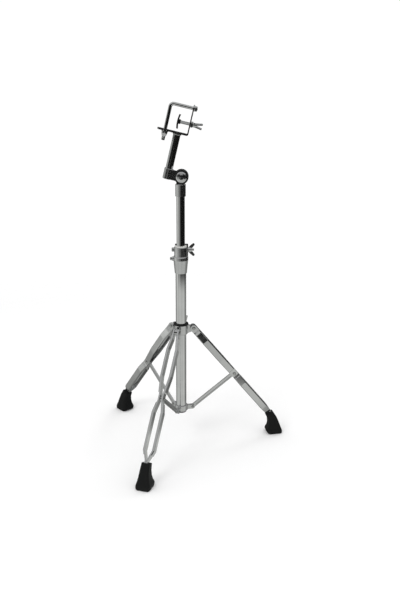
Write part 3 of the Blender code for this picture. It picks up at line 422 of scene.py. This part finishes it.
@dataclass
class Column:
    """The round tubes and collars of the column."""

    axis: Vector
    palette: Palette

    def build(self) -> Made:
        """Models the base tube, the upper tube, the leg collar's bush and the height bush.

        Returns:
            The column.
        """
        names = [self._tube("base_tube", "column", TUBE_WALL), self._tube("upper_tube", "mast", TUBE_WALL),
                 self._bush(), self._height_bush()]
        return Made("column", tuple(names))

    def _tube(self, node: str, body: str, wall: float) -> str:
        """Models one drawn tube with rounded ends, from its CAD box.

        Args:
            node: the CAD node that it stands for.
            body: the body that it rides on.
            wall: the wall's thickness.

        Returns:
            The piece's name.
        """
        low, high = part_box(node)
        radius = (high.x - low.x) / 2
        bore = radius - wall
        outline = [(bore, low.z), (radius, low.z), (radius, high.z), (bore, high.z)]
        piece = turned(f"{node}_fine", outline, Matrix.Translation(self.axis), SIDES, EDGE)
        self.palette.paint(piece, Finish.CHROME)
        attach(piece, body)
        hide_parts(node)
        return piece.name

    def _bush(self) -> str:
        """Models the leg collar's black bush with its rounded flange.

        Returns:
            The piece's name.
        """
        low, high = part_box("collar_bush")
        tube_low, tube_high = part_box("base_tube")
        bore = (tube_high.x - tube_low.x) / 2 + FIT
        flange = (high.x - low.x) / 2
        seat = high.z - BUSH_FLANGE
        outline = [(bore, low.z), (bore + BUSH_WALL, low.z), (bore + BUSH_WALL, seat), (flange - EDGE, seat),
                   (flange, seat + EDGE), (flange, high.z - EDGE), (flange - EDGE, high.z), (bore, high.z)]
        piece = turned("collar_bush_fine", outline, Matrix.Translation(self.axis), SIDES, EDGE / 2)
        self.palette.paint(piece, Finish.BLACK_NYLON)
        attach(piece, "collar")
        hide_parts("collar_bush")
        return piece.name

    def _height_bush(self) -> str:
        """Models the pale height bush: its shank in the base tube and its lip on the clamp.

        Returns:
            The piece's name.
        """
        low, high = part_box("height_bush")
        tube_low, tube_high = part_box("base_tube")
        upper_low, upper_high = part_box("upper_tube")
        bore = (upper_high.x - upper_low.x) / 2 + FIT
        shank = (tube_high.x - tube_low.x) / 2 - TUBE_WALL - FIT
        lip = (high.x - low.x) / 2
        step = tube_high.z + 2 * FIT
        neck = (tube_high.x - tube_low.x) / 2 - FIT
        seat = high.z - BUSH_LIP
        outline = [(bore, low.z), (shank, low.z), (shank, step), (neck, step), (neck, seat), (lip, seat),
                   (lip, high.z - EDGE), (lip - EDGE, high.z), (bore, high.z)]
        piece = turned("height_bush_fine", outline, Matrix.Translation(self.axis), SIDES)
        self.palette.paint(piece, Finish.WHITE_NYLON)
        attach(piece, "bushing")
        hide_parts("height_bush")
        return piece.name


@dataclass
class Leg:
    """One folding leg: two pressed strips and a rubber boot.

    Args:
        number: the leg's number in the record.
        axis: the column's axis on the floor.
        palette: the finishes.
    """

    number: int
    axis: Vector
    palette: Palette

    def build(self) -> Made:
        """Models the leg's finer pieces in the leg's own frame and moves them to their place.

        Returns:
            The leg.
        """
        hinge = next(row for row in frame["joints"] if row["name"] == f"leg_{self.number}_hinge")
        pivot = Vector(hinge["pos_m"])
        across = Vector(hinge["axis"]).normalized()
        knee = Vector((0, 0, 0))
        for side in ("left", "right"):
            low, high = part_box(f"leg_{self.number}_rivet_{side}")
            knee += (low + high) / 4
        down = (knee - pivot) - across * (knee - pivot).dot(across)
        knee_distance = down.length
        down.normalize()
        above = down.cross(across)
        place = Matrix.Translation(pivot) @ Matrix((down, across, above)).transposed().to_4x4()
        names = [self._strip(side, sign, knee_distance, place) for side, sign in (("left", 1), ("right", -1))]
        names.append(self._boot(pivot, across))
        return Made(f"leg {self.number}", tuple(names))

    def _spread(self, station: float, knee: float) -> float:
        """Finds how far a strip's middle stands from the leg's middle.

        Args:
            station: the distance down the leg from its hinge.
            knee: the knee's distance.

        Returns:
            The offset, in metres.
        """
        points = [(0.021, 0.0065), (0.051, 0.0115), (knee - 0.060, 0.0115), (knee - 0.0075, 0.00485),
                  (knee + 0.0065, 0.00485), (knee + 0.0395, 0.0115), (FOOT_MOUTH - 0.031, 0.0115),
                  (FOOT_MOUTH - 0.005, 0.0024)]
        if station <= points[0][0]:
            return points[0][1]
        for (first, low), (second, high) in zip(points, points[1:]):
            if station <= second:
                return low + (high - low) * (station - first) / (second - first)
        return points[-1][1]

    def _strip(self, side: str, sign: int, knee: float, place: Matrix) -> str:
        """Models one pressed channel strip: a bar pulled along the leg, pressed hollow on its inner face.

        Args:
            side: "left" or "right".
            sign: 1 or -1 for that side.
            knee: the knee's distance down the leg.
            place: the leg's frame.

        Returns:
            The piece's name.
        """
        half = STRIP_WIDTH / 2
        stations = [-half * share for share in (0.985, 0.94, 0.82, 0.6, 0.3, 0.0)]
        for bend in (0.021, 0.051, knee - 0.060, knee - 0.0075, knee + 0.0065, knee + 0.0395,
                     FOOT_MOUTH - 0.031, FOOT_MOUTH - 0.005):
            stations += [bend - 0.0012, bend, bend + 0.0012]
        stations += [0.012, knee - 0.013, knee + 0.013, FOOT_MOUTH - 0.018, STRIP_END]
        stations.sort()
        widths = [self._width(station) for station in stations]
        piece = begin("plane", size=1.0, location=(0, 0, 0))
        bpy.ops.transform.rotate(value=math.pi / 2, orient_axis="Y", center_override=(0, 0, 0))
        scale((1, STRIP_DEPTH, widths[0]), (0, 0, 0))
        offset = sign * self._spread(stations[0], knee)
        bpy.ops.transform.translate(value=(stations[0], offset, 0))
        for index in range(1, len(stations)):
            after = sign * self._spread(stations[index], knee)
            pull((stations[index] - stations[index - 1], after - offset, 0))
            scale((1, 1, widths[index] / widths[index - 1]), (stations[index], after, 0))
            offset = after
        spans = ((0.012, knee - 0.013), (knee + 0.013, FOOT_MOUTH - 0.018))
        for first, last in spans:
            choose_faces(piece, lambda face: -sign * face.normal.y > 0.9 and first < face.center.x < last)
            bpy.ops.mesh.inset(thickness=STRIP_SHEET, depth=0.0)
            bpy.ops.transform.translate(value=(0, sign * (STRIP_DEPTH - STRIP_SHEET), 0))
        name = f"leg_{self.number}_strip_{side}_fine"
        finish_piece(piece, name, place, 0.0009, 3, 30.0)
        self.palette.paint(piece, Finish.PRESSED)
        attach(piece, f"leg_{self.number}")
        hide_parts(f"leg_{self.number}_strip_{side}")
        return name

    def _width(self, station: float) -> float:
        """Finds the strip's width at a station: round at the hinge, drawn in at the foot.

        Args:
            station: the distance down the leg from its hinge.

        Returns:
            The width, in metres.
        """
        half = STRIP_WIDTH / 2
        if station < 0:
            return 2 * math.sqrt(max(half * half - station * station, 1e-8))
        share = min(max((station - FOOT_MOUTH + 0.022) / 0.018, 0.0), 1.0)
        return STRIP_WIDTH - (STRIP_WIDTH - STRIP_FOOT_WIDTH) * share

    def _boot(self, pivot: Vector, across: Vector) -> str:
        """Models the rubber boot: a rounded square pulled up from the sole.

        Args:
            pivot: the leg's hinge; not used.
            across: the hinge's axis.

        Returns:
            The piece's name.
        """
        outward = across.cross(Vector((0, 0, 1))).normalized()
        ankle = self.axis + outward * ANKLE_REACH
        place = Matrix.Translation(ankle) @ Matrix((outward, across, Vector((0, 0, 1)))).transposed().to_4x4()
        piece = begin("plane", size=1.0, location=(0, 0, 0))
        bpy.ops.mesh.select_mode(type="VERT")
        bpy.ops.mesh.select_all(action="SELECT")
        bpy.ops.mesh.bevel(offset=0.20, offset_type="OFFSET", segments=6, affect="VERTICES", profile=0.5)
        bpy.ops.mesh.select_mode(type="FACE")
        bpy.ops.mesh.select_all(action="SELECT")
        first = BOOT_LEVELS[0]
        scale((2 * first.length, 2 * first.width, 1), (0, 0, 0))
        bpy.ops.transform.translate(value=(first.middle, 0, first.height))
        lean = 0.0
        for before, after in zip(BOOT_LEVELS, BOOT_LEVELS[1:]):
            centre = (after.middle, 0, after.height)
            pull((after.middle - before.middle, 0, after.height - before.height))
            if lean:
                bpy.ops.transform.rotate(value=-math.radians(lean), orient_axis="Y", center_override=centre)
            scale((after.length / before.length, after.width / before.width, 1), centre)
            if after.lean:
                bpy.ops.transform.rotate(value=math.radians(after.lean), orient_axis="Y",
                                         center_override=centre)
            lean = after.lean
        name = f"leg_{self.number}_foot_fine"
        finish_piece(piece, name, place, 0.0008, 3, 40.0)
        self.palette.paint(piece, Finish.RUBBER)
        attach(piece, f"leg_{self.number}")
        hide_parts(f"leg_{self.number}_foot")
        return name


@dataclass
class Bracket:
    """The bent rod and the post of the bracket, in the tilter's leaning frame."""

    palette: Palette

    def build(self) -> Made:
        """Models the bent rod and the post.

        Returns:
            The bracket's finer pieces.
        """
        rod = next(row for row in frame["joints"] if row["name"] == "rod_hinge")
        tilt = next(row for row in frame["joints"] if row["name"] == "tilt_hinge")
        right = -Vector(rod["axis"]).normalized()
        back = Vector((0, 1, 0))
        above = right.cross(back)
        pivot = Vector(tilt["pos_m"])
        place = Matrix.Translation(pivot) @ Matrix((right, back, above)).transposed().to_4x4()
        return Made("bracket", (self._rod(place), self._post(place)))

    def _rod(self, place: Matrix) -> str:
        """Models the rod: a round bar pulled straight, spun round its bend and pulled down.

        Args:
            place: the tilter's frame.

        Returns:
            The piece's name.
        """
        piece = begin("circle", vertices=32, radius=ROD_RADIUS, location=(0, 0, 0), fill_type="NGON")
        bpy.ops.transform.rotate(value=math.pi / 2, orient_axis="Y", center_override=(0, 0, 0))
        bpy.ops.transform.translate(value=(ROD_END, 0, ROD_HEIGHT))
        bpy.ops.mesh.select_mode(type="FACE")
        bpy.ops.mesh.select_all(action="SELECT")
        pull((ROD_LEG + ROD_BEND - ROD_END, 0, 0))
        bends = 10
        centre = Vector((ROD_LEG + ROD_BEND, 0, ROD_HEIGHT - ROD_BEND))
        chord = 2 * ROD_BEND * math.sin(math.pi / 4 / bends)
        for index in range(bends):
            heading = math.pi / 2 * (index + 0.5) / bends
            pull((-chord * math.cos(heading), 0, -chord * math.sin(heading)))
            angle = math.pi / 2 * (index + 1) / bends
            middle = (centre.x - ROD_BEND * math.sin(angle), 0, centre.z + ROD_BEND * math.cos(angle))
            bpy.ops.transform.rotate(value=math.pi / 2 / bends, orient_axis="Y", center_override=middle)
        pull((0, 0, ROD_LOW - centre.z))
        finish_piece(piece, "clamp_rod_fine", place, EDGE, 2)
        self.palette.paint(piece, Finish.CHROME)
        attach(piece, "rod")
        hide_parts("clamp_rod")
        return piece.name

    def _post(self, place: Matrix) -> str:
        """Models the post with the flange under the bracket plate.

        Args:
            place: the tilter's frame.

        Returns:
            The piece's name.
        """
        screw = 0.0033
        outline = [(screw, POST_LOW), (POST_RADIUS, POST_LOW), (POST_RADIUS, POST_FLANGE_LOW),
                   (POST_FLANGE, POST_FLANGE_LOW), (POST_FLANGE, POST_TOP), (screw, POST_TOP)]
        piece = turned("post_fine", outline, place @ Matrix.Translation((POST_OFFSET, 0, 0)), SIDES, EDGE)
        self.palette.paint(piece, Finish.CHROME)
        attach(piece, "head")
        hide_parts("post")
        return piece.name


@dataclass
class Studio:
    """The pale floor, the lights, the world and the camera."""

    axis: Vector

    def build(self) -> bpy.types.Object:
        """Sets the whole stage.

        Returns:
            The camera.
        """
        self._floor()
        self._world()
        self._light("key", Vector((-1.6, -2.2, 2.6)), KEY_POWER, 1.2)
        self._light("rim", Vector((1.4, 1.8, 2.2)), RIM_POWER, 0.9)
        return self._camera()

    def _floor(self) -> None:
        """Lays a round pale floor that takes the soft shadow, and that glows for glossy rays with painted
        reflection bands of light and dark.
        """
        bpy.ops.mesh.primitive_circle_add(vertices=96, radius=FLOOR_RADIUS, fill_type="NGON",
                                          location=(self.axis.x, self.axis.y, -0.0002))
        floor = bpy.context.active_object
        floor.name = "floor"
        made = bpy.data.materials.new("floor_paper_painted_reflection")
        made.use_nodes = True
        nodes, links = made.node_tree.nodes, made.node_tree.links
        shader = nodes["Principled BSDF"]
        shader.inputs["Base Color"].default_value = (0.93, 0.93, 0.93, 1.0)
        shader.inputs["Roughness"].default_value = 0.9
        shader.inputs["Specular IOR Level"].default_value = 0.1
        place = nodes.new("ShaderNodeTexCoord")
        split = nodes.new("ShaderNodeSeparateXYZ")
        links.new(place.outputs["Object"], split.inputs["Vector"])
        # Painted reflection: glossy rays see the floor glow with bands of light and dark in place of the lit pale
        # floor
        path = nodes.new("ShaderNodeLightPath")
        sheen = nodes.new("ShaderNodeEmission")
        links.new(self._turn_bands(made.node_tree, split, FLOOR_PAINTED_REFLECTION_BANDS), sheen.inputs["Color"])
        mix = nodes.new("ShaderNodeMixShader")
        links.new(path.outputs["Is Glossy Ray"], mix.inputs["Fac"])
        links.new(shader.outputs["BSDF"], mix.inputs[1])
        links.new(sheen.outputs["Emission"], mix.inputs[2])
        reach = nodes.new("ShaderNodeVectorMath")
        reach.operation = "LENGTH"
        links.new(place.outputs["Object"], reach.inputs[0])
        fade = nodes.new("ShaderNodeMapRange")
        fade.inputs["From Min"].default_value = FLOOR_FADE[0]
        fade.inputs["From Max"].default_value = FLOOR_FADE[1]
        links.new(reach.outputs["Value"], fade.inputs["Value"])
        clear = nodes.new("ShaderNodeBsdfTransparent")
        edge = nodes.new("ShaderNodeMixShader")
        links.new(fade.outputs["Result"], edge.inputs["Fac"])
        links.new(mix.outputs["Shader"], edge.inputs[1])
        links.new(clear.outputs["BSDF"], edge.inputs[2])
        links.new(edge.outputs["Shader"], nodes["Material Output"].inputs["Surface"])
        floor.data.materials.append(made)

    def _turn_bands(self, tree: bpy.types.NodeTree, split: bpy.types.Node,
                    bands: tuple[tuple[float, float], ...]) -> bpy.types.NodeSocket:
        """Makes bands of light and dark round the vertical axis.

        Args:
            tree: the node tree that gets the nodes.
            split: the node that gives the direction's X and Y.
            bands: where each band starts, as a share of a turn, and its level.

        Returns:
            The socket that gives the bands' colour.
        """
        turn = tree.nodes.new("ShaderNodeMath")
        turn.operation = "ARCTAN2"
        tree.links.new(split.outputs["X"], turn.inputs[0])
        flip = tree.nodes.new("ShaderNodeMath")
        flip.operation = "MULTIPLY"
        flip.inputs[1].default_value = -1.0
        tree.links.new(split.outputs["Y"], flip.inputs[0])
        tree.links.new(flip.outputs["Value"], turn.inputs[1])
        share = tree.nodes.new("ShaderNodeMapRange")
        share.inputs["From Min"].default_value = -math.pi
        share.inputs["From Max"].default_value = math.pi
        tree.links.new(turn.outputs["Value"], share.inputs["Value"])
        strip = tree.nodes.new("ShaderNodeValToRGB")
        ramp = strip.color_ramp
        first, last = ramp.elements
        first.color = (BACK_LEVEL, BACK_LEVEL, BACK_LEVEL, 1.0)
        last.color = (BACK_LEVEL, BACK_LEVEL, BACK_LEVEL, 1.0)
        for place_at, level in bands:
            step = ramp.elements.new(place_at)
            step.color = (level, level * 1.01, level * 0.98, 1.0)
        tree.links.new(share.outputs["Result"], strip.inputs["Fac"])
        return strip.outputs["Color"]

    def _world(self) -> None:
        """A white backdrop for the camera, an even fill, and dark and bright bands for the chrome."""
        world = bpy.data.worlds.new("studio")
        bpy.context.scene.world = world
        world.use_nodes = True
        nodes, links = world.node_tree.nodes, world.node_tree.links
        nodes.clear()
        place = nodes.new("ShaderNodeTexCoord")
        split = nodes.new("ShaderNodeSeparateXYZ")
        links.new(place.outputs["Generated"], split.inputs["Vector"])
        walls = self._turn_bands(world.node_tree, split, WALL_BANDS)
        horizon = self._turn_bands(world.node_tree, split, HORIZON_BANDS)
        path = nodes.new("ShaderNodeLightPath")
        fill = nodes.new("ShaderNodeBackground")
        fill.inputs["Color"].default_value = (1.0, 1.0, 1.0, 1.0)
        fill.inputs["Strength"].default_value = WORLD_FILL
        gloss = nodes.new("ShaderNodeBackground")
        low = nodes.new("ShaderNodeMapRange")
        low.inputs["From Min"].default_value = HORIZON_FROM
        low.inputs["From Max"].default_value = HORIZON_FROM + 0.02
        links.new(split.outputs["Z"], low.inputs["Value"])
        middle = nodes.new("ShaderNodeMix")
        middle.data_type = "RGBA"
        links.new(low.outputs["Result"], middle.inputs["Factor"])
        links.new(walls, middle.inputs["A"])
        links.new(horizon, middle.inputs["B"])
        high = nodes.new("ShaderNodeMapRange")
        high.inputs["From Min"].default_value = CEILING_FROM
        high.inputs["From Max"].default_value = CEILING_FROM + 0.12
        links.new(split.outputs["Z"], high.inputs["Value"])
        top = nodes.new("ShaderNodeMix")
        top.data_type = "RGBA"
        links.new(high.outputs["Result"], top.inputs["Factor"])
        links.new(middle.outputs["Result"], top.inputs["A"])
        top.inputs["B"].default_value = (CEILING_LEVEL, CEILING_LEVEL, CEILING_LEVEL, 1.0)
        links.new(top.outputs["Result"], gloss.inputs["Color"])
        white = nodes.new("ShaderNodeBackground")
        white.inputs["Color"].default_value = (1.0, 1.0, 1.0, 1.0)
        white.inputs["Strength"].default_value = 1.02
        reflect = nodes.new("ShaderNodeMixShader")
        links.new(path.outputs["Is Glossy Ray"], reflect.inputs["Fac"])
        links.new(fill.outputs["Background"], reflect.inputs[1])
        links.new(gloss.outputs["Background"], reflect.inputs[2])
        seen = nodes.new("ShaderNodeMixShader")
        links.new(path.outputs["Is Camera Ray"], seen.inputs["Fac"])
        links.new(reflect.outputs["Shader"], seen.inputs[1])
        links.new(white.outputs["Background"], seen.inputs[2])
        out = nodes.new("ShaderNodeOutputWorld")
        links.new(seen.outputs["Shader"], out.inputs["Surface"])

    def _light(self, name: str, offset: Vector, power: float, size: float) -> None:
        """Hangs one soft lamp that points at the column.

        Args:
            name: the lamp's name.
            offset: its place from the foot of the column.
            power: its power in watts.
            size: the side of its square, in metres.
        """
        lamp = bpy.data.lights.new(name, "AREA")
        lamp.energy = power
        lamp.size = size
        item = bpy.data.objects.new(name, lamp)
        bpy.context.scene.collection.objects.link(item)
        item.location = self.axis + offset
        aim = Vector((0.0, 0.0, 0.5)) - offset
        item.rotation_euler = aim.to_track_quat("-Z", "Y").to_euler()
        item.visible_glossy = False

    def _camera(self) -> bpy.types.Object:
        """Places the camera where the photograph was taken from.

        Returns:
            The camera object.
        """
        data = bpy.data.cameras.new("camera")
        data.sensor_fit = "VERTICAL"
        data.sensor_height = SENSOR_MM
        data.lens = LENS_MM
        camera = bpy.data.objects.new("camera", data)
        bpy.context.scene.collection.objects.link(camera)
        back = Vector((0.0, -math.cos(CAMERA_ELEVATION), math.sin(CAMERA_ELEVATION)))
        right = Vector((1.0, 0.0, 0.0))
        up = back.cross(right)
        across = right * math.cos(CAMERA_ROLL) + up * math.sin(CAMERA_ROLL)
        above = up * math.cos(CAMERA_ROLL) - right * math.sin(CAMERA_ROLL)
        place = self.axis + CAMERA_TARGET + back * CAMERA_DISTANCE
        camera.matrix_world = Matrix.Translation(place) @ Matrix((across, above, back)).transposed().to_4x4()
        bpy.context.scene.camera = camera
        return camera


def column_axis() -> Vector:
    """Finds the column's axis on the floor.

    Returns:
        The point, in metres.
    """
    low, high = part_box("base_tube")
    return Vector(((low.x + high.x) / 2, (low.y + high.y) / 2, 0.0))


def main() -> None:
    """Dresses the frame and sets the stage, in order."""
    logging.basicConfig(level=logging.INFO, format="%(message)s")
    palette = Palette().build()
    axis = column_axis()
    assemblies = [Wardrobe(palette).dress(), Column(axis, palette).build()]
    assemblies += [Leg(number, axis, palette).build() for number in (1, 2, 3)]
    assemblies.append(Bracket(palette).build())
    for made in assemblies:
        LOG.info("%s: %d pieces", made.title, len(made.pieces))
    camera = Studio(axis).build()
    LOG.info("camera: %s", camera.name)
    bpy.context.scene.view_settings.view_transform = "Standard"


if __name__ == "__main__":
    main()
